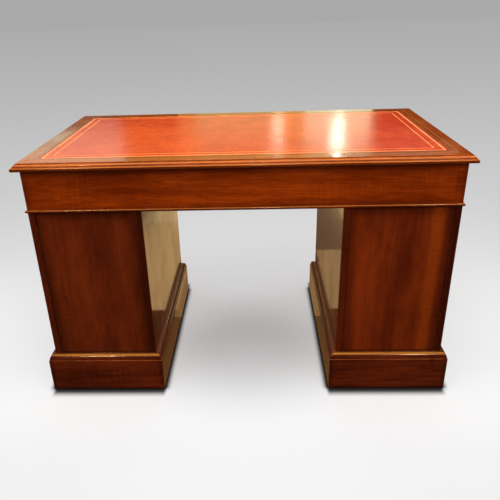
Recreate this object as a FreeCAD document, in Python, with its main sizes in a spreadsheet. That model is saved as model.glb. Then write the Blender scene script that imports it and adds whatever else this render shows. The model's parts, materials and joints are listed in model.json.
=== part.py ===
import FreeCAD, Part
import os
import Sketcher
from FreeCAD import Placement, Vector

# A mahogany pedestal writing desk. Millimetres, +Z up. The origin is on the floor under the centre of the
# top. The drawers open towards -Y and the plain back faces +Y. Left and right are the sitter's.

doc = FreeCAD.newDocument("WritingDesk")

# ---------------------------------------------------------------- driving dimensions

DIMENSIONS = {
    # overall
    "desk_width": 1290,
    "desk_depth": 738,
    "desk_height": 770,
    # the top and its moulded edge
    "side_overhang": 20,
    "front_overhang": 35,
    "top_thick": 21.5,
    "border_width": 61,
    "leather_thick": 1.6,
    "leather_drop": 0.4,
    "arris_setback": 14.5,
    "step_drop": 2.5,
    "ovolo_start": 13.5,
    "ovolo_end": 6.5,
    "ovolo_drop": 8,
    "ovolo_radius": 7.7,
    "fascia_round": 5,
    "under_round": 3,
    # the frieze
    "frieze_height": 126.5,
    "lower_rail": 18,
    "upper_rail": 10,
    "bead_height": 8,
    "bead_reach": 5.5,
    "bead_radius": 4.3,
    # the pedestals
    "pedestal_width": 334,
    "board_thick": 18,
    "back_thick": 10,
    "back_inset": 5,
    "foot_gap": 12,
    "rail_thick": 16,
    "rail_depth": 60,
    "runner_width": 20,
    "lower_opening": 164,
    "middle_opening": 146,
    # the plinths
    "plinth_height": 115,
    "plinth_reach": 20,
    "plinth_ledge": 2.5,
    "plinth_arris": 0.9,
    "plinth_foot": 5,
    "quirk_height": 3.5,
    "torus_radius": 15.5,
    # the drawers
    "slide_gap": 1,
    "box_gap": 0.5,
    "front_thick": 20,
    "cockbead_width": 4,
    "cockbead_reach": 2,
    "cockbead_round": 0.9,
    "lining_thick": 10,
    "box_length": 600,
    "top_clearance": 4,
    "floor_thick": 6,
    "floor_height": 12,
    "groove_depth": 5,
    "stop_length": 30,
    "stop_width": 12,
    "stop_height": 6,
    # the knobs
    "knob_spacing_small": 150,
    "knob_spacing_large": 330,
    "tenon_radius": 5,
    "tenon_length": 12,
    "knob_foot": 13,
    "knob_foot_thick": 3,
    "knob_neck": 8.5,
    "knob_neck_reach": 8,
    "knob_neck_round": 6,
    "knob_head": 16.5,
    "knob_head_reach": 14.5,
    "knob_head_round": 9,
    "knob_crown": 6,
    "knob_crown_reach": 22.5,
    "knob_crown_round": 9.5,
    "knob_button": 4,
    "knob_button_round": 3,
    "knob_reach": 24,
    # the softened edges of polished boards
    "edge_round": 0.8,
}


def make_sheet():
    sheet = doc.addObject("Spreadsheet::Sheet", "sizes")
    for row, (alias, value) in enumerate(DIMENSIONS.items(), start=1):
        sheet.set(f"A{row}", alias)
        sheet.set(f"B{row}", str(value))
        sheet.setAlias(f"B{row}", alias)
    doc.recompute()
    return sheet


sheet = make_sheet()


class Size:
    """A length that knows both its number and the sheet expression it comes from."""

    def __init__(self, value, text):
        self.value = value
        self.text = text

    def combine(self, sign, other, value):
        right = other.text if isinstance(other, Size) else str(other)
        return Size(value, f"({self.text} {sign} {right})")

    def __add__(self, other):
        return self.combine("+", other, self.value + number(other))

    def __sub__(self, other):
        return self.combine("-", other, self.value - number(other))

    def __mul__(self, factor):
        return self.combine("*", factor, self.value * number(factor))

    def __truediv__(self, factor):
        return self.combine("/", factor, self.value / number(factor))

    def __neg__(self):
        return self * -1


def number(length):
    return length.value if isinstance(length, Size) else length


def size(alias):
    return Size(sheet.get(alias), f"sizes.{alias}")


ZERO = Size(0, "0")


def bind(item, path, length):
    if isinstance(length, Size):
        item.setExpression(path, length.text)


def place(item, at):
    item.Placement = Placement(Vector(*(number(a) for a in at)), FreeCAD.Rotation())
    for axis, length in zip("xyz", at):
        bind(item, f"Placement.Base.{axis}", length)


# ---------------------------------------------------------------- modelling helpers


def new_body(label):
    body = doc.addObject("PartDesign::Body", label)
    body.Label = label
    return body


def new_sketch(body, plane, name, lift=None):
    sketch = body.newObject("Sketcher::SketchObject", name)
    origin_plane = next(f for f in body.Origin.OriginFeatures if f.Role == plane)
    sketch.AttachmentSupport = [(origin_plane, "")]
    sketch.MapMode = "FlatFace"
    if lift is not None:
        sketch.AttachmentOffset = Placement(Vector(0, 0, number(lift)), FreeCAD.Rotation())
        bind(sketch, "AttachmentOffset.Base.z", lift)
    return sketch


def pin(sketch, piece, end, x, y):
    """Holds one end of a sketch line at (x, y), measured from the sketch's origin."""
    for kind, length in (("DistanceX", x), ("DistanceY", y)):
        index = sketch.addConstraint(Sketcher.Constraint(kind, -1, 1, piece, end, number(length)))
        bind(sketch, f"Constraints[{index}]", length)


def draw_outline(sketch, corners):
    """A closed outline. Each corner is (x, y) or (x, y, radius). The radius bends the stretch that leads
    to the next corner, anticlockwise when positive and clockwise when negative."""
    first = sketch.GeometryCount
    points = [Vector(number(c[0]), number(c[1]), 0) for c in corners]
    for index, corner in enumerate(corners):
        start = points[index]
        stop = points[(index + 1) % len(corners)]
        if len(corner) == 2:
            sketch.addGeometry(Part.LineSegment(start, stop), False)
            continue
        bend = corner[2]
        radius = abs(number(bend))
        chord = stop - start
        side = Vector(-chord.y, chord.x, 0).normalize()
        if number(bend) < 0:
            side = -side
        rise = max(radius ** 2 - (chord.Length / 2) ** 2, 0) ** 0.5
        centre = (start + stop) / 2 + side * rise
        middle = centre - side * radius
        sketch.addGeometry(Part.Arc(start, middle, stop), False)
    for index, corner in enumerate(corners):
        piece = first + index
        following = first + (index + 1) % len(corners)
        start_end, stop_end = (1, 2)
        if len(corner) == 3 and number(corner[2]) < 0:
            start_end, stop_end = (2, 1)
        next_corner = corners[(index + 1) % len(corners)]
        next_start = 2 if len(next_corner) == 3 and number(next_corner[2]) < 0 else 1
        sketch.addConstraint(Sketcher.Constraint("Coincident", piece, stop_end, following, next_start))
        pin(sketch, piece, start_end, corner[0], corner[1])
        if len(corner) == 3:
            bend = corner[2]
            index_of_radius = sketch.addConstraint(Sketcher.Constraint("Radius", piece, abs(number(bend))))
            bind(sketch, f"Constraints[{index_of_radius}]", -bend if number(bend) < 0 else bend)


def draw_rectangle(sketch, x0, y0, x1, y1):
    draw_outline(sketch, [(x0, y0), (x1, y0), (x1, y1), (x0, y1)])


def pad(body, sketch, length, both_sides=False):
    feature = body.newObject("PartDesign::Pad", "Pad")
    feature.Profile = sketch
    feature.Length = number(length)
    bind(feature, "Length", length)
    feature.Midplane = both_sides
    return feature


def pocket(body, sketch, length=None, towards_normal=False):
    """Cuts the sketch out of the body: to the length given, or right through both ways."""
    feature = body.newObject("PartDesign::Pocket", "Pocket")
    feature.Profile = sketch
    if length is None:
        feature.Type = "ThroughAll"
        feature.Midplane = True
    else:
        feature.Length = number(length)
        bind(feature, "Length", length)
        feature.Reversed = towards_normal
    return feature


def fillet(body, base, edges, radius):
    feature = body.newObject("PartDesign::Fillet", "Fillet")
    feature.Base = (base, edges)
    feature.Radius = number(radius)
    bind(feature, "Radius", radius)
    return feature


def board(label, extent, at, soften=None):
    """A plain board. extent is its size along X, Y and Z, and at is its lowest corner."""
    body = new_body(label)
    sketch = new_sketch(body, "XY_Plane", "Outline")
    draw_rectangle(sketch, ZERO, ZERO, extent[0], extent[1])
    solid = pad(body, sketch, extent[2])
    if soften is not None:
        doc.recompute()
        edges = [f"Edge{n}" for n in range(1, len(solid.Shape.Edges) + 1)]
        fillet(body, solid, edges, soften)
    place(body, at)
    return body


def mirror(label, source, normal, base=(0, 0, 0)):
    copy = doc.addObject("Part::Mirroring", label)
    copy.Source = source
    copy.Normal = Vector(*normal)
    copy.Base = Vector(*(number(b) for b in base))
    for axis, length in zip("xyz", base):
        bind(copy, f"Base.{axis}", length)
    return copy


NODES = []


def keep(*items):
    NODES.extend(items)


def keep_group(label, members):
    """Several separate solids that share one node."""
    group = doc.addObject("Part::Compound", label)
    group.Label = label
    group.Links = members
    NODES.append(group)


def mitred_frame(label, half_x, half_y, width, profile, at):
    """Four mitred strips round a rectangle. profile gives (reach, height) corners, with reach measured
    from the frame's outermost line, so it is zero or negative. The strips along X share one node, those
    along Y another."""
    spare = 5
    pairs = (
        (half_x, half_y, "YZ_Plane", True),
        (half_y, half_x, "XZ_Plane", False),
    )
    for run, across, plane, along_x in pairs:
        name = f"{label}_{'long' if along_x else 'short'}"
        body = new_body(f"{name}_strip")
        section = new_sketch(body, plane, "Section")
        draw_outline(section, [(across + corner[0], *corner[1:]) for corner in profile])
        pad(body, section, run * 2, both_sides=True)
        ends = new_sketch(body, "XY_Plane", "Mitres")
        for side in (1, -1):
            far = (run + spare, across + spare)
            near = (run - width - spare, across - width - spare)
            corners = [far, (far[0], near[1]), near]
            corners = [(x * side, y) for x, y in corners]
            if not along_x:
                corners = [(y, x) for x, y in corners]
            draw_outline(ends, corners)
        pocket(body, ends)
        place(body, at)
        normal = (0, 1, 0) if along_x else (1, 0, 0)
        other = mirror(f"{name}_strip_opposite", body, normal, at)
        keep_group(name, [body, other])


# ---------------------------------------------------------------- shared measures

half_width = size("desk_width") / 2
half_depth = size("desk_depth") / 2
thick = size("board_thick")
soft = size("edge_round")

top_under = size("desk_height") - size("top_thick")
frieze_under = top_under - size("frieze_height")
case_half = half_width - size("side_overhang")
case_back = half_depth - size("side_overhang")
case_front = -half_depth + size("front_overhang")
case_depth = case_back - case_front
case_middle = (case_back + case_front) / 2
rail_depth = size("rail_depth")
behind_rail = case_front + rail_depth

pedestal_width = size("pedestal_width")
knee_half = case_half - pedestal_width
opening_width = pedestal_width - thick * 2
plinth_top = size("plinth_height") + size("quirk_height") + size("torus_radius")


# ---------------------------------------------------------------- the top


def build_top():
    lift = top_under
    tip = ZERO
    inner = -size("border_width")
    arris = -size("arris_setback")
    top = size("desk_height")
    step = top - size("step_drop")
    ovolo_in = -size("ovolo_start")
    ovolo_out = -size("ovolo_end")
    ledge = step - size("ovolo_drop")
    rounding = size("fascia_round")
    under = size("under_round")
    edge = [
        (inner, lift),
        (tip - under, lift, under),
        (tip, lift + under),
        (tip, ledge - rounding, rounding),
        (tip - rounding, ledge),
        (ovolo_out, ledge, size("ovolo_radius")),
        (ovolo_in, step),
        (arris, step),
        (arris, top),
        (inner, top),
    ]
    mitred_frame("top_edge", half_width, half_depth, size("border_width"), edge, (ZERO, ZERO, ZERO))

    inner_x = half_width - size("border_width")
    inner_y = half_depth - size("border_width")
    panel_thick = size("top_thick") - size("leather_thick") - size("leather_drop")
    keep(board("top_panel", (inner_x * 2, inner_y * 2, panel_thick), (-inner_x, -inner_y, lift)))
    leather_at = (-inner_x, -inner_y, lift + panel_thick)
    keep(board("writing_leather", (inner_x * 2, inner_y * 2, size("leather_thick")), leather_at))


# ---------------------------------------------------------------- the frieze


def build_frieze():
    height = size("frieze_height")
    lower = size("lower_rail")
    upper = size("upper_rail")
    inside = case_half - thick
    back_inner = case_back - thick
    run = back_inner - behind_rail

    keep(board("frieze_back", (case_half * 2, thick, height), (-case_half, back_inner, frieze_under), soft))
    side_length = case_depth - thick
    side_size = (thick, side_length, height)
    keep(board("frieze_side_left", side_size, (-case_half, case_front, frieze_under), soft))
    keep(board("frieze_side_right", side_size, (inside, case_front, frieze_under), soft))

    rail_top = top_under - upper
    rail_at = (-inside, case_front, frieze_under)
    keep(board("frieze_rail_lower", (inside * 2, rail_depth, lower), rail_at, soft))
    rail_at = (-inside, case_front, rail_top)
    keep(board("frieze_rail_upper", (inside * 2, rail_depth, upper), rail_at, soft))

    divider_size = (thick, back_inner - case_front, height - lower - upper)
    floor_of_frieze = frieze_under + lower
    left_at = (-knee_half - thick, case_front, floor_of_frieze)
    right_at = (knee_half, case_front, floor_of_frieze)
    dividers = [
        board("frieze_divider_left", divider_size, left_at, soft),
        board("frieze_divider_right", divider_size, right_at, soft),
    ]
    keep_group("frieze_dividers", dividers)

    # One bearer at each end and one centred under each divider, with a kicker above each.
    width = rail_depth
    beside_divider = knee_half + thick / 2 - width / 2
    starts = [-inside, -beside_divider - width, beside_divider, inside - width]
    runners = []
    kickers = []
    for place_number, start in enumerate(starts, start=1):
        at = (start, behind_rail, frieze_under)
        runners.append(board(f"frieze_runner_{place_number}", (width, run, lower), at))
        at = (start, behind_rail, rail_top)
        kickers.append(board(f"frieze_kicker_{place_number}", (width, run, upper), at))
    keep_group("frieze_runners", runners)
    keep_group("frieze_kickers", kickers)

    # A half-round bead planted round the foot of the frieze.
    bead_height = size("bead_height")
    reach = size("bead_reach")
    bead = [
        (-reach, frieze_under),
        (-reach / 2, frieze_under, size("bead_radius")),
        (-reach / 2, frieze_under + bead_height),
        (-reach, frieze_under + bead_height),
    ]
    at = (ZERO, case_middle, ZERO)
    mitred_frame("frieze_bead", case_half + reach, case_depth / 2 + reach, reach, bead, at)


# ---------------------------------------------------------------- the pedestals


def drawer_levels():
    """Bottom and top of each pedestal drawer's opening, from the lowest drawer up."""
    lower_top = plinth_top + size("lower_opening")
    middle_bottom = lower_top + size("rail_thick")
    middle_top = middle_bottom + size("middle_opening")
    upper_bottom = middle_top + size("rail_thick")
    upper_top = frieze_under - thick
    return {
        "lower": (plinth_top, lower_top),
        "middle": (middle_bottom, middle_top),
        "upper": (upper_bottom, upper_top),
    }


def build_pedestal(hand, sign):
    name = f"pedestal_{hand}"
    centre = (case_half - pedestal_width / 2) * sign
    left_face = centre - pedestal_width / 2
    right_face = centre + pedestal_width / 2
    foot = size("foot_gap")
    side_height = frieze_under - foot
    sides = {
        "outer" if sign < 0 else "inner": left_face,
        "inner" if sign < 0 else "outer": right_face - thick,
    }
    for side, start in sides.items():
        side_size = (thick, case_depth, side_height)
        keep(board(f"{name}_side_{side}", side_size, (start, case_front, foot), soft))

    inner_left = left_face + thick
    back_y = case_back - size("back_inset") - size("back_thick")
    inside_depth = back_y - case_front
    back_size = (opening_width, size("back_thick"), side_height)
    keep(board(f"{name}_back", back_size, (inner_left, back_y, foot), soft))
    board_size = (opening_width, inside_depth, thick)
    keep(board(f"{name}_top_board", board_size, (inner_left, case_front, frieze_under - thick), soft))
    keep(board(f"{name}_bottom_board", board_size, (inner_left, case_front, plinth_top - thick), soft))

    rail = size("rail_thick")
    runner = size("runner_width")
    run = back_y - behind_rail
    rails = []
    runners = []
    for level in ("middle", "upper"):
        z = drawer_levels()[level][0] - rail
        rail_size = (opening_width, rail_depth, rail)
        rails.append(board(f"{name}_rail_{level}", rail_size, (inner_left, case_front, z), soft))
        for side, start in (("a", inner_left), ("b", right_face - thick - runner)):
            at = (start, behind_rail, z)
            runners.append(board(f"{name}_runner_{level}_{side}", (runner, run, rail), at))
    keep_group(f"{name}_rails", rails)
    keep_group(f"{name}_runners", runners)

    # Each plinth board is one length with its ledge, quirk and ovolo worked on the top edge.
    reach = size("plinth_reach")
    ledge = size("plinth_height")
    quirk = ledge + size("quirk_height")
    torus = size("torus_radius")
    shoulder = -size("plinth_ledge")
    rim = size("plinth_arris")
    worn_foot = size("plinth_foot")
    plinth = [
        (-reach, ZERO),
        (-worn_foot, ZERO, worn_foot),
        (ZERO, worn_foot),
        (ZERO, ledge - rim, rim),
        (ZERO - rim, ledge),
        (shoulder, ledge),
        (shoulder, quirk, torus),
        (shoulder - torus, plinth_top),
        (-reach, plinth_top),
    ]
    half_x = pedestal_width / 2 + reach
    half_y = case_depth / 2 + reach
    mitred_frame(f"{name}_plinth", half_x, half_y, reach, plinth, (centre, case_middle, ZERO))


# ---------------------------------------------------------------- the drawers


def build_front(label, width, height, at, spacing):
    """A drawer front with a cockbead round it, knob holes, and a groove for the drawer's floor."""
    bead = size("cockbead_reach")
    depth = size("front_thick") + bead
    body = new_body(label)
    outline = new_sketch(body, "XY_Plane", "Outline")
    draw_rectangle(outline, -width / 2, ZERO, width / 2, depth)
    pad(body, outline, height)

    field = new_sketch(body, "XZ_Plane", "Field")
    inset = size("cockbead_width")
    draw_rectangle(field, -width / 2 + inset, inset, width / 2 - inset, height - inset)
    raised = pocket(body, field, bead)

    groove = new_sketch(body, "XY_Plane", "Groove", size("floor_height"))
    end = width / 2 - size("lining_thick") + size("groove_depth")
    draw_rectangle(groove, -end, depth - size("groove_depth"), end, depth + 1)
    grooved = pocket(body, groove, size("floor_thick"), towards_normal=True)

    holes = new_sketch(body, "XZ_Plane", "KnobHoles")
    for side in (-1, 1):
        centre = Vector(number(spacing) / 2 * side, number(height) / 2, 0)
        radius = number(size("tenon_radius"))
        circle = holes.addGeometry(Part.Circle(centre, Vector(0, 0, 1), radius), False)
        pin(holes, circle, 3, spacing / 2 * side, height / 2)
        index = holes.addConstraint(Sketcher.Constraint("Radius", circle, radius))
        bind(holes, f"Constraints[{index}]", size("tenon_radius"))
    bored = pocket(body, holes, size("tenon_length") + bead)
    doc.recompute()
    check_cut(raised, body, "field")
    check_cut(grooved, body, "groove")
    check_cut(bored, body, "knob holes")

    rim = []
    for index, edge in enumerate(bored.Shape.Edges, start=1):
        if all(abs(vertex.Y) < 0.01 for vertex in edge.Vertexes) and edge.Curve.TypeId == "Part::GeomLine":
            rim.append(f"Edge{index}")
    fillet(body, bored, rim, size("cockbead_round"))
    place(body, at)
    keep(body)


def check_cut(feature, body, what):
    """A cut that points the wrong way leaves the volume as it was."""
    before = feature.BaseFeature.Shape.Volume
    if feature.Shape.Volume > before - 1:
        raise RuntimeError(f"{body.Label}: the {what} cut nothing")


def build_box(label, width, height, at):
    """The two sides, back and floor of a drawer: separate boards that share one node."""
    lining = size("lining_thick")
    length = size("box_length")
    groove = size("groove_depth")
    floor_z = size("floor_height")
    floor = size("floor_thick")

    side = new_body(f"{label}_side_a")
    outline = new_sketch(side, "XY_Plane", "Outline")
    draw_rectangle(outline, ZERO, ZERO, lining, length)
    pad(side, outline, height)
    slot = new_sketch(side, "XZ_Plane", "Groove")
    draw_rectangle(slot, lining - groove, floor_z, lining + 1, floor_z + floor)
    grooved = pocket(side, slot, length)
    doc.recompute()
    check_cut(grooved, side, "groove")
    place(side, (at[0] - width / 2, at[1], at[2]))
    other = mirror(f"{label}_side_b", side, (1, 0, 0), at)

    inner = width - lining * 2
    back_at = (at[0] - inner / 2, at[1] + length - lining, at[2] + floor_z + floor)
    back_height = height - floor_z - floor - size("top_clearance")
    back = board(f"{label}_back", (inner, lining, back_height), back_at)
    floor_at = (at[0] - inner / 2 - groove, at[1] - groove, at[2] + floor_z)
    floor_size = (inner + groove * 2, length + groove, floor)
    keep_group(label, [side, other, back, board(f"{label}_floor", floor_size, floor_at)])


def build_knobs(label, at, spacing):
    """Two turned knobs, each with a tenon glued into the drawer front."""
    body = new_body(label)
    foot = size("knob_foot")
    tenon = size("tenon_radius")
    reach = size("knob_reach")
    section = new_sketch(body, "XY_Plane", "Section")
    corners = [
        (ZERO, size("tenon_length")),
        (ZERO, -reach),
        (size("knob_button"), -reach, size("knob_button_round")),
        (size("knob_crown"), -size("knob_crown_reach"), size("knob_crown_round")),
        (size("knob_head"), -size("knob_head_reach"), size("knob_head_round")),
        (size("knob_neck"), -size("knob_neck_reach"), -size("knob_neck_round")),
        (foot, -size("knob_foot_thick")),
        (foot, ZERO),
        (tenon, ZERO),
        (tenon, size("tenon_length")),
    ]
    draw_outline(section, corners)
    turned = body.newObject("PartDesign::Revolution", "Turning")
    turned.Profile = section
    turned.ReferenceAxis = (section, ["V_Axis"])
    turned.Angle = 360
    pair = body.newObject("PartDesign::LinearPattern", "Pair")
    pair.Originals = [turned]
    pair.Direction = (section, ["H_Axis"])
    pair.Length = number(spacing)
    bind(pair, "Length", spacing)
    pair.Occurrences = 2
    body.Tip = pair
    place(body, (at[0] - spacing / 2, at[1], at[2]))
    keep(body)


STOPS = []


def build_stops(name, centre, width, z):
    """Two small blocks glued on the rail, which the back of the drawer front meets when it is shut."""
    block = (size("stop_length"), size("stop_width"), size("stop_height"))
    y = case_front + size("front_thick") + size("box_gap")
    inward = size("lining_thick") * 2
    for side, start in (("a", centre - width / 2 + inward), ("b", centre + width / 2 - inward - block[0])):
        STOPS.append(board(f"{name}_stop_{side}", block, (start, y, z)))


def build_drawer(name, centre, opening, bottom, top, spacing):
    gap = size("slide_gap")
    width = opening - gap * 2
    height = top - bottom - gap * 2
    front_at = (centre, case_front - size("cockbead_reach"), bottom + gap)
    build_front(f"{name}_front", width, height, front_at, spacing)
    box_at = (centre, case_front + size("front_thick"), bottom + gap)
    box_height = height - size("top_clearance")
    build_box(f"{name}_box", width - size("box_gap") * 2, box_height, box_at)
    knob_z = bottom + gap + height / 2
    build_knobs(f"{name}_knobs", (centre, case_front, knob_z), spacing)
    build_stops(name, centre, opening, bottom)


def build_drawers():
    small = size("knob_spacing_small")
    large = size("knob_spacing_large")
    bottom = frieze_under + size("lower_rail")
    top = top_under - size("upper_rail")
    column = case_half - pedestal_width / 2
    build_drawer("drawer_top_left", -column, opening_width, bottom, top, small)
    build_drawer("drawer_top_centre", ZERO, knee_half * 2, bottom, top, large)
    build_drawer("drawer_top_right", column, opening_width, bottom, top, small)
    for hand, sign in (("left", -1), ("right", 1)):
        for level, (low, high) in drawer_levels().items():
            build_drawer(f"drawer_{hand}_{level}", column * sign, opening_width, low, high, small)
    keep_group("drawer_stops", STOPS)


# ---------------------------------------------------------------- build, check and write


def check_model():
    for item in doc.Objects:
        if {"Invalid", "Error"} & set(item.State):
            raise RuntimeError(f"{item.Label} failed: {item.State}")
    for node in NODES:
        if node.Shape.isNull() or not node.Shape.isValid():
            raise RuntimeError(f"{node.Label} has no valid shape")


def write_nodes():
    os.makedirs("parts", exist_ok=True)
    for node in NODES:
        node.Shape.exportStep(f"parts/{node.Label}.step")
        print(f"{node.Label}: {len(node.Shape.Solids)} solid(s), {node.Shape.Volume / 1000:.1f} cm3")
    box = Part.makeCompound([node.Shape for node in NODES]).BoundBox
    print(f"{len(NODES)} nodes, {box.XLength:.1f} x {box.YLength:.1f} x {box.ZLength:.1f} mm")


build_top()
build_frieze()
build_pedestal("left", -1)
build_pedestal("right", 1)
build_drawers()
doc.recompute()
check_model()
write_nodes()
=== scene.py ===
import json
from math import radians

import bpy
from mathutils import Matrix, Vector

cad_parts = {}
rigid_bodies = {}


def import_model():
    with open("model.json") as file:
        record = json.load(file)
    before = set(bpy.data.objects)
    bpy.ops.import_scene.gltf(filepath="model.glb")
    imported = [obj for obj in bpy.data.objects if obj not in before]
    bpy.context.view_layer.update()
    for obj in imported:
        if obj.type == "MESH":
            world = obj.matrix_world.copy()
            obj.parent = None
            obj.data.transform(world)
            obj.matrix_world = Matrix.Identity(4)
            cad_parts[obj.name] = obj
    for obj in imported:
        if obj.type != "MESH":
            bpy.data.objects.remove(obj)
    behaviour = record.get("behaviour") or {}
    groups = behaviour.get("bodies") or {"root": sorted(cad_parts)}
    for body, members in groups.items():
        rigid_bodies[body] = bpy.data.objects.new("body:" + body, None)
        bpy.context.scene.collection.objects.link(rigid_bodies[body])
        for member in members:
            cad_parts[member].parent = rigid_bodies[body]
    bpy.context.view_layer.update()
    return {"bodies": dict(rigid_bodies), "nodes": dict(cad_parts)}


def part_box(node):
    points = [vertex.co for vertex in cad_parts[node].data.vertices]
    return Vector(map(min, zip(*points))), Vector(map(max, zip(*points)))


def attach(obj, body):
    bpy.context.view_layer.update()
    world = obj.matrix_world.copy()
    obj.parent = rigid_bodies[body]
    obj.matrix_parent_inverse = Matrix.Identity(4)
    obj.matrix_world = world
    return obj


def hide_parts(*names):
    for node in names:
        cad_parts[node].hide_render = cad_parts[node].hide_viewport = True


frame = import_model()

# A French-polished mahogany pedestal desk with a tooled leather top. Metres, +Z up. The plain back
# faces +Y and the drawers open towards -Y.

scene = bpy.context.scene
scene.view_settings.view_transform = "Standard"

MM = 0.001


# ---------------------------------------------------------------- camera and lights


def place_camera():
    tilt = 64.138
    roll = 1.665
    heading = -178.147
    angles = [radians(a) for a in (tilt, roll, heading)]
    bpy.ops.object.camera_add(location=(-0.0471, 1.8661, 1.1632), rotation=angles)
    camera = bpy.context.object
    camera.name = "desk_camera"
    camera.data.lens = 40.17
    camera.data.sensor_width = 36
    camera.data.shift_x = 0.0289
    camera.data.shift_y = 0.0412
    scene.camera = camera


def light_panel(name, at, towards, width, height, power, colour, only_sheen=False, sheen=True):
    """A soft panel of light. With only_sheen it shows in the polish and lights nothing."""
    bpy.ops.object.light_add(type="AREA", location=at)
    panel = bpy.context.object
    panel.name = name
    panel.data.shape = "RECTANGLE"
    panel.data.size = width
    panel.data.size_y = height
    brightest = max(colour)
    panel.data.energy = power * brightest * width * height
    panel.data.color = [c / brightest for c in colour]
    aim = Vector(towards) - Vector(at)
    panel.rotation_euler = aim.to_track_quat("-Z", "Y").to_euler()
    panel.visible_camera = False
    panel.visible_diffuse = not only_sheen
    panel.visible_glossy = sheen
    panel.data.use_shadow = not only_sheen


def light_the_desk():
    """Plain soft light on the matt surfaces. It doesn't show in the polish."""
    plain = (1.0, 1.0, 1.0)
    light_panel("ceiling_light", (0.0, 0.4, 3.2), (0.0, 0.3, 0.0), 3.6, 2.4, 8.5, plain, sheen=False)
    light_panel("front_light", (-0.3, 3.1, 3.0), (0.0, 0.0, 0.4), 3.0, 1.4, 6.0, plain, sheen=False)
    light_panel("fill_light", (-0.6, 3.6, 1.2), (0.0, 0.0, 0.4), 2.6, 1.0, 2.0, plain, sheen=False)
    light_panel("rear_light", (0.0, -3.4, 1.1), (0.0, 0.0, 0.4), 3.0, 1.2, 7.0, plain, sheen=False)


def add_glints():
    """Lamps and broad bands of warm light that only glint along the mouldings and the knobs."""
    warm = (1.0, 0.70, 0.36)
    lamp = 0.22
    for name, x, power in (("left", 1.33, 340), ("middle", -0.1, 220), ("right", -1.38, 260)):
        for side, y, share in (("back", 2.5, 1.0), ("drawer", -2.7, 0.15)):
            label = f"glint_{side}_{name}"
            at = (x, y, 2.3)
            towards = (x * 0.3, y * 0.1, 0.6)
            light_panel(label, at, towards, lamp, lamp, power * share, warm, only_sheen=True)
    glow = (1.0, 0.30, 0.055)
    for side, y in (("back", 2.3), ("drawer", -2.3)):
        at = (0.0, y, 3.0)
        light_panel(f"glint_{side}_band", at, (0.0, 0.3, 0.6), 3.6, 1.2, 22, glow, only_sheen=True)
    above = (0.0, 0.85, 3.0)
    amber = (1.0, 0.42, 0.045)
    light_panel("glint_above", above, (0.0, 0.36, 0.76), 3.6, 1.3, 36, amber, only_sheen=True)


def add_opening(name, wall, left, right, low, high, colour):
    """An upright opening across the room, which shines in the waxed leather and lights nothing."""
    at = ((left + right) / 2, wall, (low + high) / 2)
    towards = (at[0], 0.0, at[2])
    light_panel(f"opening_{name}", at, towards, right - left, high - low, 1, colour, only_sheen=True)


def add_openings():
    # Each one's wall, left side, right side, low edge, high edge and colour.
    far = -2.5
    middle = -2.45
    near = -2.4
    openings = (
        ("pink", far, 1.01, 3.2, 1.26, 1.47, (3.0, 3.0, 2.1)),
        ("rose", far, 1.01, 3.2, 1.47, 2.6, (3.3, 1.9, 1.25)),
        ("amber", far, 0.56, 1.01, 1.27, 1.42, (3.8, 1.3, 0.10)),
        ("amber_gold", far, 0.42, 0.56, 1.10, 1.44, (2.6, 1.45, 0.40)),
        ("gold", far, -0.20, 0.42, 1.0, 1.43, (2.3, 2.0, 0.80)),
        ("orange", far, -0.415, -0.20, 1.0, 1.40, (3.1, 2.1, 0.60)),
        ("pale", far, -0.92, -0.415, 1.0, 1.46, (4.1, 4.3, 2.6)),
        ("sill", far, -0.75, 1.01, 1.49, 1.64, (3.0, 1.5, 0.40)),
        ("sill_end", far, -1.6, -0.75, 1.48, 1.64, (2.2, 1.4, 0.9)),
        ("streak", near, -0.668, -0.640, 1.24, 1.45, (62, 58, 50)),
        ("streak_foot", near, -0.661, -0.646, 1.42, 1.55, (60, 58, 50)),
        ("sparkle", near, -0.225, -0.185, 1.20, 1.38, (20, 19, 15)),
        ("halo", middle, -0.71, -0.60, 1.20, 1.46, (2.6, 2.6, 1.8)),
    )
    for opening in openings:
        add_opening(*opening)


def add_kneehole_strips():
    # Boards mirrored low in the sides of the kneehole: left side, right side, back, front and colour.
    strips = (
        ("near_left", 0.10, 0.24, -0.16, 0.40, (0.12, 0.05, 0.01)),
        ("near_right", -0.24, -0.10, -0.16, 0.40, (0.25, 0.07, 0.01)),
        ("foot_left", 0.24, 0.28, -0.10, 0.40, (0.50, 0.21, 0.06)),
        ("foot_right", -0.28, -0.24, -0.10, 0.40, (0.45, 0.20, 0.06)),
        ("foot_far_left", 0.24, 0.28, -0.62, -0.10, (1.10, 0.58, 0.21)),
        ("foot_far_right", -0.28, -0.24, -0.62, -0.10, (1.05, 0.56, 0.20)),
        ("middle_left", -0.045, 0.24, -1.20, -0.16, (2.2, 1.40, 0.58)),
        ("far_left", -0.045, 0.24, -2.95, -1.20, (2.6, 1.75, 0.80)),
        ("middle_right", -0.24, -0.045, -0.76, -0.16, (1.35, 0.82, 0.35)),
        ("far_right", -0.24, -0.045, -2.9, -0.76, (0.50, 0.30, 0.17)),
    )
    above_floor = 0.001
    for name, left, right, back, front, colour in strips:
        label = f"kneehole_{name}"
        at = ((left + right) / 2, (back + front) / 2, above_floor)
        towards = (at[0], at[1], 1.0)
        light_panel(label, at, towards, right - left, front - back, 1, colour, only_sheen=True)


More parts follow.
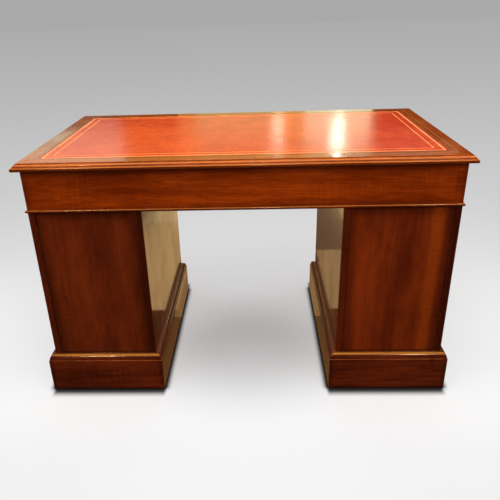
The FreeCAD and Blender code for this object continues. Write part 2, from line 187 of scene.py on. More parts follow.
def light_the_room():
    """Even light from above for the matt surfaces, a pale wall and a dim brown room in the polish."""
    world = bpy.data.worlds.new("studio")
    scene.world = world
    world.use_nodes = True
    world.cycles.sampling_method = "NONE"
    tree = world.node_tree
    tree.nodes.clear()
    bench = Bench(tree)
    direction = bench.add("ShaderNodeTexCoord").outputs["Generated"]
    height = bench.add("ShaderNodeSeparateXYZ", {"Vector": direction}).outputs["Z"]
    sky = bench.blend(bench.ramp(height, -0.08, 0.12), tone(0.05, 0.03, 0.02), tone(0.56, 0.56, 0.56))
    paths = bench.add("ShaderNodeLightPath").outputs
    colour = bench.blend(paths["Is Glossy Ray"], sky, tone(0.020, 0.011, 0.006))
    colour = bench.blend(paths["Is Camera Ray"], colour, tone(0.40, 0.40, 0.40))
    background = bench.add("ShaderNodeBackground", {"Color": colour})
    out = bench.add("ShaderNodeOutputWorld")
    tree.links.new(background.outputs["Background"], out.inputs["Surface"])


# ---------------------------------------------------------------- nodes


class Bench:
    """A tree of nodes that are added one after another, each with its inputs set or joined."""

    def __init__(self, tree):
        self.tree = tree
        self.row = 0

    def add(self, kind, inputs=None, **settings):
        node = self.tree.nodes.new(kind)
        node.location = (self.row * 180, 0)
        self.row += 1
        for name, value in settings.items():
            setattr(node, name, value)
        for name, value in (inputs or {}).items():
            self.feed(node.inputs[name], value)
        return node

    def feed(self, socket, value):
        if isinstance(value, bpy.types.NodeSocket):
            self.tree.links.new(value, socket)
        else:
            socket.default_value = value

    def math(self, operation, first, second=0.0, third=0.0, clamp=False):
        node = self.add("ShaderNodeMath", {0: first, 1: second, 2: third}, operation=operation)
        node.use_clamp = clamp
        return node.outputs[0]

    def times(self, first, second, clamp=False):
        return self.math("MULTIPLY", first, second, clamp=clamp)

    def ramp(self, value, low, high):
        """0 below low, 1 above high. low may be the larger, for a mask that falls."""
        if low <= high:
            sockets = {"Value": value, "From Min": low, "From Max": high}
        else:
            sockets = {"Value": value, "From Min": high, "From Max": low, "To Min": 1.0, "To Max": 0.0}
        node = self.add("ShaderNodeMapRange", sockets, interpolation_type="SMOOTHSTEP")
        return node.outputs["Result"]

    def blend(self, factor, first, second, kind="MIX"):
        node = self.add("ShaderNodeMix", data_type="RGBA", blend_type=kind)
        self.feed(node.inputs[0], factor)
        self.feed(node.inputs[6], first)
        self.feed(node.inputs[7], second)
        return node.outputs[2]

    def tint(self, colour, mark, amount, towards):
        """Takes colour towards another: by amount where the mark is 1, and not at all where it is 0."""
        return self.blend(self.times(mark, amount), colour, towards)

    def noise(self, place, scale, detail=3.0, roughness=0.5, distortion=0.0):
        sockets = {
            "Vector": place,
            "Scale": scale,
            "Detail": detail,
            "Roughness": roughness,
            "Distortion": distortion,
        }
        return self.add("ShaderNodeTexNoise", sockets).outputs["Fac"]

    def stretch(self, place, scale, offset=(0.0, 0.0, 0.0), turn=(0.0, 0.0, 0.0)):
        sockets = {"Vector": place, "Scale": scale, "Location": offset, "Rotation": turn}
        return self.add("ShaderNodeMapping", sockets).outputs["Vector"]


def tone(red, green, blue):
    return (red, green, blue, 1.0)


def new_effect(name, inputs, outputs):
    """A node group. inputs and outputs are (name, kind, starting value)."""
    group = bpy.data.node_groups.new(name, "ShaderNodeTree")
    for label, kind, value in inputs:
        socket = group.interface.new_socket(name=label, in_out="INPUT", socket_type=f"NodeSocket{kind}")
        if value is not None:
            socket.default_value = value
    for label, kind in outputs:
        group.interface.new_socket(name=label, in_out="OUTPUT", socket_type=f"NodeSocket{kind}")
    bench = Bench(group)
    start = bench.add("NodeGroupInput")
    finish = bench.add("NodeGroupOutput")
    return bench, start.outputs, finish.inputs


def wood_figure_effect():
    """Sawn wood whose grain runs along X: clouds, ribbon stripes, fibre, pores and fiddleback."""
    inputs = (
        ("Place", "Vector", None),
        ("Wander", "Float", 0.05),
        ("Ribbon Width", "Float", 55.0),
        ("Pore Length", "Float", 90.0),
    )
    outputs = (
        ("Figure", "Float"),
        ("Ribbon", "Float"),
        ("Fibre", "Float"),
        ("Pores", "Float"),
        ("Fiddleback", "Float"),
    )
    bench, start, finish = new_effect("wood_figure", inputs, outputs)
    place = start["Place"]
    slow = bench.noise(bench.stretch(place, (1.6, 3.0, 3.0)), 1.6, detail=2.0)
    drift = bench.times(bench.math("SUBTRACT", slow, 0.5), start["Wander"])
    shift = bench.add("ShaderNodeCombineXYZ", {"X": 0.0, "Y": drift, "Z": drift}).outputs["Vector"]
    bent = bench.add("ShaderNodeVectorMath", {0: place, 1: shift}, operation="ADD").outputs["Vector"]
    figure = bench.noise(bench.stretch(bent, (2.2, 8.0, 8.0)), 1.7, detail=4.0, roughness=0.6)
    bench.feed(finish["Figure"], bench.ramp(figure, 0.25, 0.75))
    narrow = bench.stretch(bent, (0.05, 1.0, 1.0))
    ribbon = bench.noise(narrow, start["Ribbon Width"], detail=5.0, roughness=0.72)
    bench.feed(finish["Ribbon"], bench.ramp(ribbon, 0.28, 0.72))
    fibre = bench.noise(bench.stretch(bent, (11.0, 420.0, 420.0)), 1.0, detail=3.0, roughness=0.65)
    bench.feed(finish["Fibre"], bench.ramp(fibre, 0.3, 0.7))
    cells = bench.stretch(bent, (1.0, 16.0, 16.0))
    pores = bench.noise(cells, start["Pore Length"], detail=2.0, roughness=0.5)
    bench.feed(finish["Pores"], bench.ramp(pores, 0.60, 0.70))
    rays = bench.noise(bench.stretch(bent, (190.0, 14.0, 14.0)), 1.0, detail=1.0)
    blotches = bench.noise(bench.stretch(place, (3.0, 6.0, 6.0)), 1.0, detail=1.0)
    patches = bench.ramp(blotches, 0.45, 0.65)
    bench.feed(finish["Fiddleback"], bench.times(bench.ramp(rays, 0.35, 0.65), patches))
    return bench.tree


def edge_wear_and_highlight_effect():
    """Arrises rubbed by hands and dusters, which also carry a painted highlight: 1 on a convex edge,
    broken up, and 0 on flat faces.
    """
    inputs = (("Place", "Vector", None), ("Radius", "Float", 0.0025), ("Patchiness", "Float", 40.0))
    bench, start, finish = new_effect("edge_wear_and_highlight", inputs, (("Worn_And_Highlit", "Float"),))
    rounded = bench.add("ShaderNodeBevel", {"Radius": start["Radius"]}, samples=4)
    normal = bench.add("ShaderNodeNewGeometry").outputs["Normal"]
    pair = {0: rounded.outputs["Normal"], 1: normal}
    closeness = bench.add("ShaderNodeVectorMath", pair, operation="DOT_PRODUCT").outputs["Value"]
    edge = bench.ramp(closeness, 0.995, 0.86)
    patches = bench.ramp(bench.noise(start["Place"], start["Patchiness"], detail=3.0), 0.35, 0.62)
    bench.feed(finish["Worn_And_Highlit"], bench.times(edge, patches, clamp=True))
    return bench.tree


def quirk_grime_and_shade_effect():
    """Old wax and dust in quirks, joints and recesses, with painted shade there too: darker where the
    surface is hemmed in.
    """
    inputs = (("Place", "Vector", None), ("Depth", "Float", 0.012))
    bench, start, finish = new_effect("quirk_grime_and_shade", inputs, (("Grime_And_Shade", "Float"),))
    hollow = bench.add("ShaderNodeAmbientOcclusion", {"Distance": start["Depth"]}, samples=6)
    deep = bench.ramp(hollow.outputs["AO"], 0.92, 0.35)
    patches = bench.ramp(bench.noise(start["Place"], 55.0, detail=3.0), 0.15, 0.6)
    bench.feed(finish["Grime_And_Shade"], bench.times(deep, patches, clamp=True))
    return bench.tree


def handling_effect():
    """Years of handling in a glossy finish: cloudy smears, hairline scratches and a brushed ripple."""
    inputs = (("Place", "Vector", None), ("Smear Size", "Float", 7.0))
    outputs = (("Smears", "Float"), ("Scratches", "Float"), ("Ripple", "Float"))
    bench, start, finish = new_effect("handling", inputs, outputs)
    smears = bench.noise(start["Place"], start["Smear Size"], detail=4.0, distortion=0.4)
    bench.feed(finish["Smears"], bench.ramp(smears, 0.35, 0.7))
    lines = []
    for turn, long in ((0.35, 3.0), (1.9, 4.0)):
        drawn = bench.stretch(start["Place"], (long, 420.0, 420.0), turn=(0.0, turn * 0.6, turn))
        lines.append(bench.ramp(bench.noise(drawn, 1.0, detail=1.0), 0.70, 0.76))
    bench.feed(finish["Scratches"], bench.math("MAXIMUM", lines[0], lines[1]))
    bench.feed(finish["Ripple"], bench.noise(start["Place"], 22.0, detail=2.0))
    return bench.tree


def dark_margins_effect():
    """Darker towards a board's edges, as old polish and as painted shade under the mouldings and beside
    the recesses: 1 at an edge, blotchy, and 0 past the reach.
    """
    inputs = (
        ("Place", "Vector", None),
        ("Low", "Vector", None),
        ("High", "Vector", None),
        ("Reach", "Float", 0.03),
    )
    bench, start, finish = new_effect("dark_margins", inputs, (("Margin", "Float"),))
    place = start["Place"]
    above = bench.add("ShaderNodeVectorMath", {0: place, 1: start["Low"]}, operation="SUBTRACT")
    below = bench.add("ShaderNodeVectorMath", {0: start["High"], 1: place}, operation="SUBTRACT")
    both = {0: above.outputs["Vector"], 1: below.outputs["Vector"]}
    inside = bench.add("ShaderNodeVectorMath", both, operation="MINIMUM")
    parts = bench.add("ShaderNodeSeparateXYZ", {"Vector": inside.outputs["Vector"]}).outputs
    nearest = bench.math("MINIMUM", parts["X"], bench.math("MINIMUM", parts["Y"], parts["Z"]))
    uneven = bench.math("MULTIPLY_ADD", bench.noise(place, 16.0, detail=4.0), 1.6, 0.2)
    reach = bench.times(start["Reach"], uneven)
    bench.feed(finish["Margin"], bench.ramp(bench.math("DIVIDE", nearest, reach), 1.0, 0.0))
    return bench.tree


WOOD = wood_figure_effect()
MARGINS = dark_margins_effect()
EDGE_WEAR_AND_HIGHLIGHT = edge_wear_and_highlight_effect()
GRIME_AND_SHADE = quirk_grime_and_shade_effect()
HANDLING = handling_effect()

GRAIN_TURN = {
    "x": (0.0, 0.0, 0.0),
    "y": (0.0, 0.0, radians(-90)),
    "z": (0.0, radians(90), 0.0),
}


def new_finish(name):
    material = bpy.data.materials.new(name)
    material.use_nodes = True
    material.node_tree.nodes.clear()
    return material, Bench(material.node_tree)


def lay_grain(bench, place, grain, seed):
    """Turns the figure to run along a board. Each board is cut from another place in the log."""
    offset = (seed * 1.37 % 5, seed * 2.11 % 5, seed * 0.73 % 5)
    return bench.stretch(place, (1.0, 1.0, 1.0), offset, GRAIN_TURN[grain])


def effect(bench, tree, inputs):
    node = bench.add("ShaderNodeGroup", node_tree=tree)
    for name, value in inputs.items():
        bench.feed(node.inputs[name], value)
    return node.outputs


def close_finish(bench, colour, roughness, height, strength, distance):
    """Ends a finish: one Principled shader with its bump, joined to the output."""
    bump_inputs = {"Height": height, "Strength": strength, "Distance": distance}
    bump = bench.add("ShaderNodeBump", bump_inputs)
    shader = bench.add("ShaderNodeBsdfPrincipled")
    bench.feed(shader.inputs["Base Color"], colour)
    bench.feed(shader.inputs["Roughness"], roughness)
    bench.feed(shader.inputs["Normal"], bump.outputs["Normal"])
    out = bench.add("ShaderNodeOutputMaterial")
    bench.tree.links.new(shader.outputs["BSDF"], out.inputs["Surface"])
    return shader


# ---------------------------------------------------------------- the finishes


class Polish:
    """The tones of a French-polished board: its wood from dark to light, and its worn arrises, which
    also carry a painted highlight.

    stripe is how strongly the ribbon and the fibre show, from 0 to 1.
    """

    def __init__(self, dark, middle, light, fresh_and_highlit, stripe):
        self.stripe = stripe
        self.dark = tone(*dark)
        self.middle = tone(*middle)
        self.light = tone(*light)
        self.fresh_and_highlit = tone(*fresh_and_highlit)


FRIEZE = Polish(
    dark=(0.110, 0.011, 0.0010),
    middle=(0.44, 0.045, 0.0018),
    light=(0.60, 0.078, 0.0032),
    fresh_and_highlit=(0.60, 0.15, 0.02),
    stripe=0.75,
)
COLUMN = Polish(
    dark=(0.050, 0.006, 0.0018),
    middle=(0.25, 0.028, 0.0044),
    light=(0.38, 0.050, 0.0066),
    fresh_and_highlit=(0.45, 0.12, 0.02),
    stripe=0.4,
)
# A darker copy of COLUMN: painted shade, for the pedestal that stands in less light and for the beads.
SHADED = Polish(
    dark=(0.032, 0.005, 0.0018),
    middle=(0.19, 0.023, 0.0046),
    light=(0.30, 0.042, 0.0070),
    fresh_and_highlit=(0.40, 0.10, 0.02),
    stripe=0.4,
)
PLINTH = Polish(
    dark=(0.028, 0.004, 0.0016),
    middle=(0.160, 0.019, 0.0042),
    light=(0.26, 0.034, 0.0060),
    fresh_and_highlit=(0.40, 0.060, 0.015),
    stripe=0.75,
)
BORDER = Polish(
    dark=(0.090, 0.010, 0.0015),
    middle=(0.36, 0.056, 0.0050),
    light=(0.52, 0.095, 0.0090),
    fresh_and_highlit=(0.74, 0.20, 0.014),
    stripe=0.7,
)


def broad_sides(node):
    """A board's box, opened out the way the board faces, so that only the edges of its face count."""
    low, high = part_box(node)
    open_out = Vector((1, 0, 0)) if "side" in node or "short" in node else Vector((0, 1, 0))
    return tuple(low - open_out), tuple(high + open_out)


def french_polish(node, grain, seed, tones, extra, reach):
    """Deep red-brown mahogany under a clear gloss, with its grain along one axis."""
    finish, bench = new_finish(f"mahogany_{node}")
    place = bench.add("ShaderNodeTexCoord").outputs["Object"]
    along = lay_grain(bench, place, grain, seed)
    wood = effect(bench, WOOD, {"Place": along})
    handling = effect(bench, HANDLING, {"Place": along})
    worn_and_highlit = effect(bench, EDGE_WEAR_AND_HIGHLIGHT, {"Place": place})["Worn_And_Highlit"]
    grime_and_shade = effect(bench, GRIME_AND_SHADE, {"Place": place})["Grime_And_Shade"]

    colour = bench.blend(wood["Figure"], tones.dark, tones.light)
    colour = bench.blend(0.48, colour, tones.middle)
    stripes = bench.blend(wood["Ribbon"], tone(0.58, 0.52, 0.52), tone(1.32, 1.42, 1.42))
    colour = bench.blend(tones.stripe, colour, stripes, "MULTIPLY")
    fibres = bench.blend(wood["Fibre"], tone(0.72, 0.66, 0.66), tone(1.22, 1.30, 1.30))
    colour = bench.blend(tones.stripe, colour, fibres, "MULTIPLY")
    ripple = bench.times(wood["Fiddleback"], 0.25)
    colour = bench.blend(ripple, colour, tones.dark)
    # Darker towards the board's edges: old polish, and painted shade under the mouldings and beside the
    # recesses.
    if reach > 0:
        low, high = broad_sides(node)
        edges = {"Place": place, "Low": low, "High": high, "Reach": reach}
        darker = effect(bench, MARGINS, edges)["Margin"]
        colour = bench.tint(colour, darker, 0.60, tones.dark)
    colour = bench.tint(colour, wood["Pores"], 0.45, tones.dark)
    matt = 0.0
    if extra is not None:
        colour, matt = extra(bench, place, colour, tones)
    # Darker in quirks, joints and recesses: old wax and dust, and painted shade.
    colour = bench.tint(colour, grime_and_shade, 0.85, tone(0.012, 0.003, 0.0015))
    # Lighter on convex edges: rubbed wear, and a painted highlight along the mouldings.
    colour = bench.tint(colour, worn_and_highlit, 0.55, tones.fresh_and_highlit)

    rough = bench.math("MULTIPLY_ADD", handling["Smears"], 0.08, 0.10)
    rough = bench.math("MULTIPLY_ADD", handling["Scratches"], 0.10, rough)
    rough = bench.math("MULTIPLY_ADD", grime_and_shade, 0.25, rough)
    rough = bench.math("MULTIPLY_ADD", matt, 0.45, rough, clamp=True)
    height = bench.times(handling["Ripple"], 1.6)
    height = bench.math("MULTIPLY_ADD", wood["Pores"], -0.4, height)
    height = bench.math("MULTIPLY_ADD", wood["Fibre"], 0.30, height)
    height = bench.math("MULTIPLY_ADD", handling["Scratches"], -0.25, height)
    gloss = bench.math("MULTIPLY_ADD", handling["Smears"], -0.18, 0.34)
    gloss = bench.math("MULTIPLY_ADD", wood["Fibre"], 0.26, gloss)
    gloss = bench.math("MULTIPLY_ADD", grime_and_shade, -0.7, gloss, clamp=True)
    gloss = bench.math("MULTIPLY_ADD", matt, -0.30, gloss, clamp=True)
    shader = close_finish(bench, colour, rough, height, 0.35, 0.00025)
    bench.feed(shader.inputs["Coat Weight"], gloss)
    shader.inputs["Coat Roughness"].default_value = 0.06
    shader.inputs["Coat IOR"].default_value = 1.4
    shader.inputs["Specular IOR Level"].default_value = 0.42
    return finish


def add_sapwood_streak(bench, place, colour, tones):
    """A lighter streak, flecked across, that runs up one side of a pedestal's back panel."""
    streak_inset = 0.046
    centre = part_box("pedestal_left_back")[0].x + streak_inset
    parts = bench.add("ShaderNodeSeparateXYZ", {"Vector": place}).outputs
    drift = bench.noise(bench.stretch(place, (1.0, 1.0, 0.35)), 7.0, detail=3.0)
    side = bench.math("SUBTRACT", parts["X"], centre)
    side = bench.math("MULTIPLY_ADD", drift, 0.024, side)
    lean = bench.math("MULTIPLY_ADD", parts["Z"], 0.018, side)
    inner = bench.ramp(lean, 0.044, 0.018)
    outer = bench.ramp(lean, -0.012, 0.010)
    flecks = bench.noise(bench.stretch(place, (70.0, 70.0, 260.0)), 1.0, detail=2.0)
    flecks = bench.ramp(flecks, 0.3, 0.7)
    streak = bench.times(inner, outer)
    streak = bench.times(streak, bench.math("MULTIPLY_ADD", flecks, 0.35, 0.28))
    return bench.blend(streak, colour, tone(0.46, 0.070, 0.003)), 0.0


def add_shaded_edge(bench, place, colour, tones):
    """The back edge of a pedestal's side board, painted dark: painted shade on the stile that frames
    the back panel.
    """
    parts = bench.add("ShaderNodeSeparateXYZ", {"Vector": place}).outputs
    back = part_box("pedestal_left_side_outer")[1].y
    edge = bench.ramp(parts["Y"], back - 0.004, back - 0.001)
    return bench.tint(colour, edge, 0.85, tones.dark), 0.0


def add_dull_moulding(bench, place, colour, tones):
    """The moulded top of a plinth's side, tinted a darker red-brown and with its gloss dulled."""
    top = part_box("pedestal_left_plinth_short")[1].z
    parts = bench.add("ShaderNodeSeparateXYZ", {"Vector": place}).outputs
    moulded = bench.ramp(parts["Z"], top - 0.018, top - 0.014)
    colour = bench.tint(colour, moulded, 0.7, tone(0.13, 0.013, 0.0020))
    return colour, bench.times(moulded, 0.4)


def add_border_lines(bench, place, colour, tones):
    """The moulded border of the top: a fine inlaid line, painted shade on its underside and a joint at
    each mitre.
    """
    line_inset = 0.0445
    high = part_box("top_edge_long")[1]
    parts = bench.add("ShaderNodeSeparateXYZ", {"Vector": place}).outputs
    from_end = bench.math("SUBTRACT", high.x, bench.math("ABSOLUTE", parts["X"]))
    from_side = bench.math("SUBTRACT", high.y, bench.math("ABSOLUTE", parts["Y"]))
    inward = bench.math("MINIMUM", from_end, from_side)
    off_line = bench.math("ABSOLUTE", bench.math("SUBTRACT", inward, line_inset))
    line = bench.ramp(off_line, 0.0011, 0.0006)
    colour = bench.tint(colour, line, 0.75, tone(0.62, 0.30, 0.10))
    outside = bench.ramp(inward, line_inset, line_inset - 0.0005)
    colour = bench.tint(colour, outside, 0.30, tones.middle)
    # Painted shade: darker on the lower part of the moulding, which faces down.
    under = bench.ramp(parts["Z"], high.z - 0.0100, high.z - 0.0150)
    colour = bench.tint(colour, under, 0.60, tone(0.070, 0.007, 0.0008))
    moulded = bench.ramp(inward, 0.0140, 0.0130)
    matt = bench.times(bench.math("SUBTRACT", moulded, under), 0.3, clamp=True)
    off_mitre = bench.math("ABSOLUTE", bench.math("SUBTRACT", from_end, from_side))
    mitre = bench.ramp(off_mitre, 0.0007, 0.0003)
    return bench.tint(colour, mitre, 0.8, tones.dark), matt


def plain_timber(name, grain, seed, dark, light, ribbon, pores, faced_from=None):
    """Unpolished timber inside the desk. A front edge that shows is mahogany forward of faced_from."""
    finish, bench = new_finish(name)
    place = bench.add("ShaderNodeTexCoord").outputs["Object"]
    along = lay_grain(bench, place, grain, seed)
    wood = effect(bench, WOOD, {"Place": along, "Ribbon Width": ribbon, "Pore Length": pores})
    handling = effect(bench, HANDLING, {"Place": along})
    worn_and_highlit = effect(bench, EDGE_WEAR_AND_HIGHLIGHT, {"Place": place})["Worn_And_Highlit"]
    grime_and_shade = effect(bench, GRIME_AND_SHADE, {"Place": place, "Depth": 0.03})["Grime_And_Shade"]
    colour = bench.blend(wood["Ribbon"], tone(*dark), tone(*light))
    figure = bench.blend(wood["Figure"], tone(0.78, 0.76, 0.74), tone(1.12, 1.12, 1.12))
    colour = bench.blend(0.8, colour, figure, "MULTIPLY")
    marks = (
        (wood["Pores"], 0.5, dark, 0.45),
        (handling["Smears"], 0.25, dark, 0.6),
        # Darker in recesses: dust, and painted shade.
        (grime_and_shade, 0.6, dark, 0.25),
        (worn_and_highlit, 0.3, light, 1.2),
    )
    for mark, amount, base, share in marks:
        tinted = tone(*[min(c * share, 1) for c in base])
        colour = bench.tint(colour, mark, amount, tinted)
    rough = bench.math("MULTIPLY_ADD", wood["Fibre"], 0.2, 0.55)
    if faced_from is not None:
        front = bench.add("ShaderNodeSeparateXYZ", {"Vector": place}).outputs["Y"]
        facing = bench.ramp(front, faced_from + 0.0004, faced_from)
        polished = bench.blend(wood["Ribbon"], SHADED.middle, COLUMN.light)
        colour = bench.blend(facing, colour, bench.blend(grime_and_shade, polished, SHADED.dark))
        rough = bench.math("MULTIPLY_ADD", facing, -0.35, rough)
    height = bench.math("MULTIPLY_ADD", wood["Pores"], -0.8, wood["Fibre"])
    close_finish(bench, colour, rough, height, 0.6, 0.0003)
    return finish


def leather_grain_effect():
    """Hide: pebbled grain, creases, broad mottling and slow undulation."""
    inputs = (("Place", "Vector", None), ("Grain Size", "Float", 620.0))
    outputs = (("Pebbles", "Float"), ("Creases", "Float"), ("Mottle", "Float"), ("Swell", "Float"))
    bench, start, finish = new_effect("leather_grain", inputs, outputs)
    place = start["Place"]
    cells = {"Vector": place, "Scale": start["Grain Size"], "Randomness": 0.9}
    pebbles = bench.add("ShaderNodeTexVoronoi", cells, feature="DISTANCE_TO_EDGE").outputs["Distance"]
    bench.feed(finish["Pebbles"], bench.ramp(pebbles, 0.0, 0.25))
    creases = bench.noise(bench.stretch(place, (115.0, 95.0, 62.0)), 1.0, detail=4.0, roughness=0.6)
    bench.feed(finish["Creases"], bench.ramp(creases, 0.3, 0.7))
    mottle = bench.noise(place, 9.0, detail=5.0, roughness=0.6, distortion=0.5)
    bench.feed(finish["Mottle"], bench.ramp(mottle, 0.3, 0.7))
    bench.feed(finish["Swell"], bench.noise(bench.stretch(place, (14.0, 30.0, 14.0)), 1.0, detail=2.0))
    return bench.tree


LEATHER_GRAIN = leather_grain_effect()


def waxed_leather(name, dark, light, rubbed):
    """Red hide, waxed to a shine and rubbed paler where it is used."""
    finish, bench = new_finish(name)
    place = bench.add("ShaderNodeTexCoord").outputs["Object"]
    hide = effect(bench, LEATHER_GRAIN, {"Place": place})
    handling = effect(bench, HANDLING, {"Place": place, "Smear Size": 5.0})
    worn_and_highlit = effect(bench, EDGE_WEAR_AND_HIGHLIGHT, {"Place": place, "Radius": 0.0012})["Worn_And_Highlit"]
    colour = bench.blend(hide["Mottle"], tone(*dark), tone(*light))
    colour = bench.tint(colour, handling["Smears"], 0.18, tone(*rubbed))
    crease = bench.blend(hide["Creases"], tone(0.80, 0.68, 0.70), tone(1.08, 1.18, 1.16))
    colour = bench.blend(0.8, colour, crease, "MULTIPLY")
    valleys = bench.blend(hide["Pebbles"], tone(0.55, 0.5, 0.5), tone(1.0, 1.0, 1.0))
    colour = bench.blend(0.6, colour, valleys, "MULTIPLY")
    colour = bench.tint(colour, worn_and_highlit, 0.5, tone(*rubbed))
    colour = bench.tint(colour, handling["Scratches"], 0.18, tone(*rubbed))
    rough = bench.math("MULTIPLY_ADD", handling["Smears"], 0.05, 0.065)
    height = bench.times(hide["Pebbles"], 0.06)
    height = bench.math("MULTIPLY_ADD", hide["Swell"], 2.4, height)
    height = bench.math("MULTIPLY_ADD", hide["Creases"], 1.25, height)
    shader = close_finish(bench, colour, rough, height, 0.5, 0.0003)
    shader.inputs["Specular IOR Level"].default_value = 0.45
    return finish


def gilt_tooling():
    """Gold leaf pressed into the leather, dull in places and rubbed through in others."""
    finish, bench = new_finish("gilt_tooling")
    place = bench.add("ShaderNodeTexCoord").outputs["Object"]
    hide = effect(bench, LEATHER_GRAIN, {"Place": place, "Grain Size": 480.0})
    handling = effect(bench, HANDLING, {"Place": place, "Smear Size": 30.0})
    gold = bench.blend(hide["Mottle"], tone(0.78, 0.28, 0.07), tone(0.95, 0.42, 0.13))
    rubbed = bench.ramp(bench.noise(place, 260.0, detail=3.0), 0.60, 0.72)
    rubbed = bench.times(rubbed, handling["Smears"])
    colour = bench.blend(rubbed, gold, tone(0.55, 0.09, 0.04))
    metal = bench.math("MULTIPLY_ADD", rubbed, -0.35, 0.35)
    rough = bench.math("MULTIPLY_ADD", handling["Smears"], 0.15, 0.38)
    shader = close_finish(bench, colour, rough, hide["Pebbles"], 0.3, 0.0002)
    bench.feed(shader.inputs["Metallic"], metal)
    return finish


# ---------------------------------------------------------------- the leather, as a tooled hide


def start_piece():
    if bpy.context.mode != "OBJECT":
        bpy.ops.object.mode_set(mode="OBJECT")
    bpy.ops.object.select_all(action="DESELECT")


def add_block(name, low, high):
    """A block from its lowest to its highest corner, with its object at the origin."""
    start_piece()
    middle = (low + high) / 2
    bpy.ops.mesh.primitive_cube_add(size=1, location=middle, scale=high - low)
    piece = bpy.context.object
    piece.name = name
    piece.data.name = name
    bpy.ops.object.transform_apply(location=True, rotation=True, scale=True)
    return piece


def pick_faces(piece, wanted):
    """Selects just the wanted faces, and ends in edit mode."""
    bpy.ops.object.mode_set(mode="EDIT")
    bpy.ops.mesh.select_mode(type="FACE")
    bpy.ops.mesh.select_all(action="DESELECT")
    bpy.ops.object.mode_set(mode="OBJECT")
    for face in piece.data.polygons:
        face.select = wanted(face)
    bpy.ops.object.mode_set(mode="EDIT")


def make_writing_leather(plain, rim, gilt):
    """The hide, with a rolled edge, a darker rim and two gilt bands pressed into it."""
    rim_slot = 1
    gilt_slot = 2
    low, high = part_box("writing_leather")
    piece = add_block("tooled_leather", low, high)
    for finish in (plain, rim, gilt):
        piece.data.materials.append(finish)
    pick_faces(piece, lambda face: face.normal.z > 0.9)
    roll = 0.5 * MM
    bpy.ops.mesh.inset(thickness=roll, depth=0)
    press = 0.15 * MM
    wall = 0.3 * MM
    rim_width = 8 * MM
    for gap, width in ((8.0, 5.0), (21.2, 2.5)):
        bpy.ops.mesh.inset(thickness=gap * MM - wall, depth=0)
        bpy.ops.mesh.inset(thickness=wall, depth=-press)
        bpy.ops.mesh.inset(thickness=width * MM, depth=0)
        bpy.ops.mesh.inset(thickness=wall, depth=press)
    bpy.ops.object.mode_set(mode="OBJECT")

    def inward(face):
        return min(high.x - abs(face.center.x), high.y - abs(face.center.y))

    for face in piece.data.polygons:
        if face.normal.z < 0.5:
            continue
        pressed = face.center.z < high.z - press * 0.3 and inward(face) > roll * 4
        if pressed:
            face.material_index = gilt_slot
        elif inward(face) < rim_width:
            face.material_index = rim_slot
    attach(piece, "desk")
    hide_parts("writing_leather")


# ---------------------------------------------------------------- finishes for the made parts


def dress(node, finish):
    piece = frame["nodes"][node]
    piece.data.materials.clear()
    piece.data.materials.append(finish)


def dress_the_desk():
    # Each polished node: its grain, tones, any extra marking, and how far its dark margins reach.
    polished = {
        "top_edge_long": ("x", BORDER, add_border_lines, 0),
        "top_edge_short": ("y", BORDER, add_border_lines, 0),
        "frieze_back": ("x", FRIEZE, None, 0.035),
        "frieze_side_left": ("y", FRIEZE, None, 0.035),
        "frieze_side_right": ("y", FRIEZE, None, 0.035),
        "frieze_rail_lower": ("x", FRIEZE, None, 0),
        "frieze_rail_upper": ("x", FRIEZE, None, 0),
        "frieze_dividers": ("z", FRIEZE, None, 0),
        "frieze_bead_long": ("x", SHADED, None, 0),
        "frieze_bead_short": ("y", SHADED, None, 0),
    }
    pine = [("top_panel", "x"), ("frieze_runners", "y"), ("frieze_kickers", "y"), ("drawer_stops", "x")]
    shaded = ("pedestal_left_side_outer", "pedestal_right_side_inner")
    for hand, tones, streak in (("left", COLUMN, add_sapwood_streak), ("right", SHADED, None)):
        name = f"pedestal_{hand}"
        polished[f"{name}_back"] = ("z", tones, streak, 0.040)
        for side in (f"{name}_side_inner", f"{name}_side_outer"):
            edge = add_shaded_edge if side in shaded else None
            polished[side] = ("z", COLUMN, edge, 0.040)
        polished[f"{name}_rails"] = ("x", COLUMN, None, 0)
        polished[f"{name}_plinth_long"] = ("x", PLINTH, None, 0.022)
        polished[f"{name}_plinth_short"] = ("y", PLINTH, add_dull_moulding, 0.022)
        pine.append((f"{name}_top_board", "x"))
        pine.append((f"{name}_bottom_board", "x"))
        pine.append((f"{name}_runners", "y"))
    drawers = [body for body in frame["bodies"] if body != "desk"]
    for body in drawers:
        polished[f"{body}_front"] = ("x", FRIEZE, None, 0.020)
        polished[f"{body}_knobs"] = ("y", FRIEZE, None, 0)
    for seed, (node, (grain, tones, extra, reach)) in enumerate(polished.items(), start=1):
        dress(node, french_polish(node, grain, seed, tones, extra, reach))
    facing = 0.006
    faced_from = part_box("frieze_rail_lower")[0].y + facing
    dark = (0.40, 0.23, 0.10)
    light = (0.62, 0.42, 0.22)
    for seed, (node, grain) in enumerate(pine, start=1):
        faced = faced_from if "top_board" in node else None
        dress(node, plain_timber(f"pine_{node}", grain, seed, dark, light, 45.0, 40.0, faced))
    dark = (0.34, 0.20, 0.09)
    light = (0.52, 0.36, 0.19)
    for seed, body in enumerate(drawers, start=1):
        dress(f"{body}_box", plain_timber(f"oak_{body}", "y", seed, dark, light, 80.0, 110.0))


# ---------------------------------------------------------------- the floor


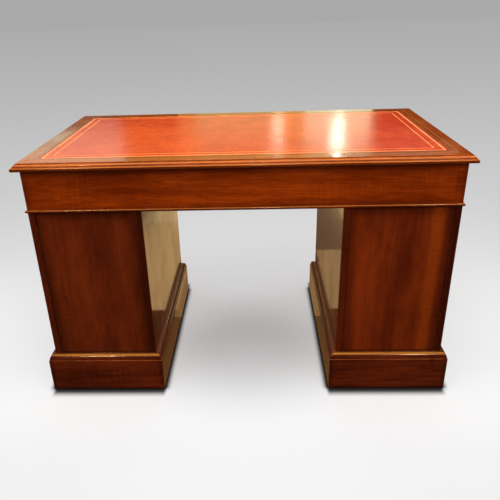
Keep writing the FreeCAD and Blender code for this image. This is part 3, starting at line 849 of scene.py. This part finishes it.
def floor_glow(bench, place, parts, away, lit):
    """The floor's own brightness: it fades with distance, and is shaded in the kneehole."""
    faded = bench.math("POWER", bench.math("DIVIDE", away, 1.855), 1.258)
    near = bench.math("DIVIDE", 1.0, bench.math("ADD", faded, 1.0))
    glow = bench.math("MULTIPLY_ADD", near, 0.513, 0.40)
    glow = bench.math("MULTIPLY_ADD", lit, -0.433, glow)
    # Painted shade: a soft darker patch on the floor between the pedestals.
    hall = bench.stretch(place, (2.2, 2.1, 1.0), (0.0, -0.25, 0.0))
    from_hall = bench.add("ShaderNodeVectorMath", {0: hall}, operation="LENGTH").outputs["Value"]
    glow = bench.math("MULTIPLY_ADD", bench.ramp(from_hall, 1.0, 0.2), -0.22, glow)
    # Painted light: the floor is made brighter to each side of the desk.
    beside = bench.times(bench.ramp(parts["Y"], -0.9, 0.0), bench.ramp(parts["Y"], 0.75, 0.42))
    return bench.math("MULTIPLY_ADD", beside, 0.085, glow)


def contact_shadow(bench, parts):
    """1 on open floor, falling to a dark line where the plinths stand on it."""
    hollow = bench.add("ShaderNodeAmbientOcclusion", {"Distance": 0.024}, samples=8)
    open_floor = bench.ramp(hollow.outputs["AO"], 0.58, 1.0)
    low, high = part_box("pedestal_right_plinth_long")
    sideways = bench.math("ABSOLUTE", parts["X"])
    lengthways = bench.math("ABSOLUTE", parts["Y"])
    inner = bench.ramp(sideways, low.x - 0.010, low.x + 0.004)
    outer = bench.ramp(sideways, high.x + 0.006, high.x - 0.012)
    before = bench.ramp(lengthways, high.y + 0.046, high.y + 0.008)
    under_foot = bench.times(bench.times(inner, outer), before)
    return bench.times(open_floor, bench.math("MULTIPLY_ADD", under_foot, -0.93, 1.0))


def lay_floor():
    """A pale floor. Near the desk it takes light and shadow, and further off it only glows."""
    start_piece()
    bpy.ops.mesh.primitive_plane_add(size=60, location=(0, 0, 0))
    floor = bpy.context.object
    floor.name = "studio_floor"
    finish, bench = new_finish("pale_floor")
    place = bench.add("ShaderNodeTexCoord").outputs["Object"]
    parts = bench.add("ShaderNodeSeparateXYZ", {"Vector": place}).outputs
    across = bench.stretch(place, (0.5, 1.0, 1.0), (0.0, -0.43, 0.0))
    away = bench.add("ShaderNodeVectorMath", {0: across}, operation="LENGTH").outputs["Value"]
    lit = bench.ramp(away, 3.0, 1.2)
    contact = contact_shadow(bench, parts)
    glow = bench.times(floor_glow(bench, place, parts, away, lit), contact)
    shade = bench.blend(lit, tone(0.0, 0.0, 0.0), tone(0.42, 0.42, 0.42))
    colour = bench.blend(contact, tone(0.02, 0.02, 0.02), shade)
    height = bench.noise(place, 40.0)
    shader = close_finish(bench, colour, 0.9, height, 0.02, 0.0005)
    bench.feed(shader.inputs["Emission Color"], glow)
    shader.inputs["Emission Strength"].default_value = 1.0
    shader.inputs["Specular IOR Level"].default_value = 0.0
    floor.data.materials.append(finish)
    floor.visible_glossy = False
    floor.visible_diffuse = False


# ---------------------------------------------------------------- putting it together

place_camera()
light_the_desk()
add_glints()
add_openings()
add_kneehole_strips()
light_the_room()
lay_floor()
dress_the_desk()
hide = waxed_leather(
    "red_leather",
    dark=(0.70, 0.048, 0.020),
    light=(0.87, 0.088, 0.026),
    rubbed=(0.92, 0.13, 0.045),
)
hide_rim = waxed_leather(
    "red_leather_rim",
    dark=(0.34, 0.040, 0.020),
    light=(0.52, 0.075, 0.036),
    rubbed=(0.66, 0.16, 0.08),
)
make_writing_leather(hide, hide_rim, gilt_tooling())
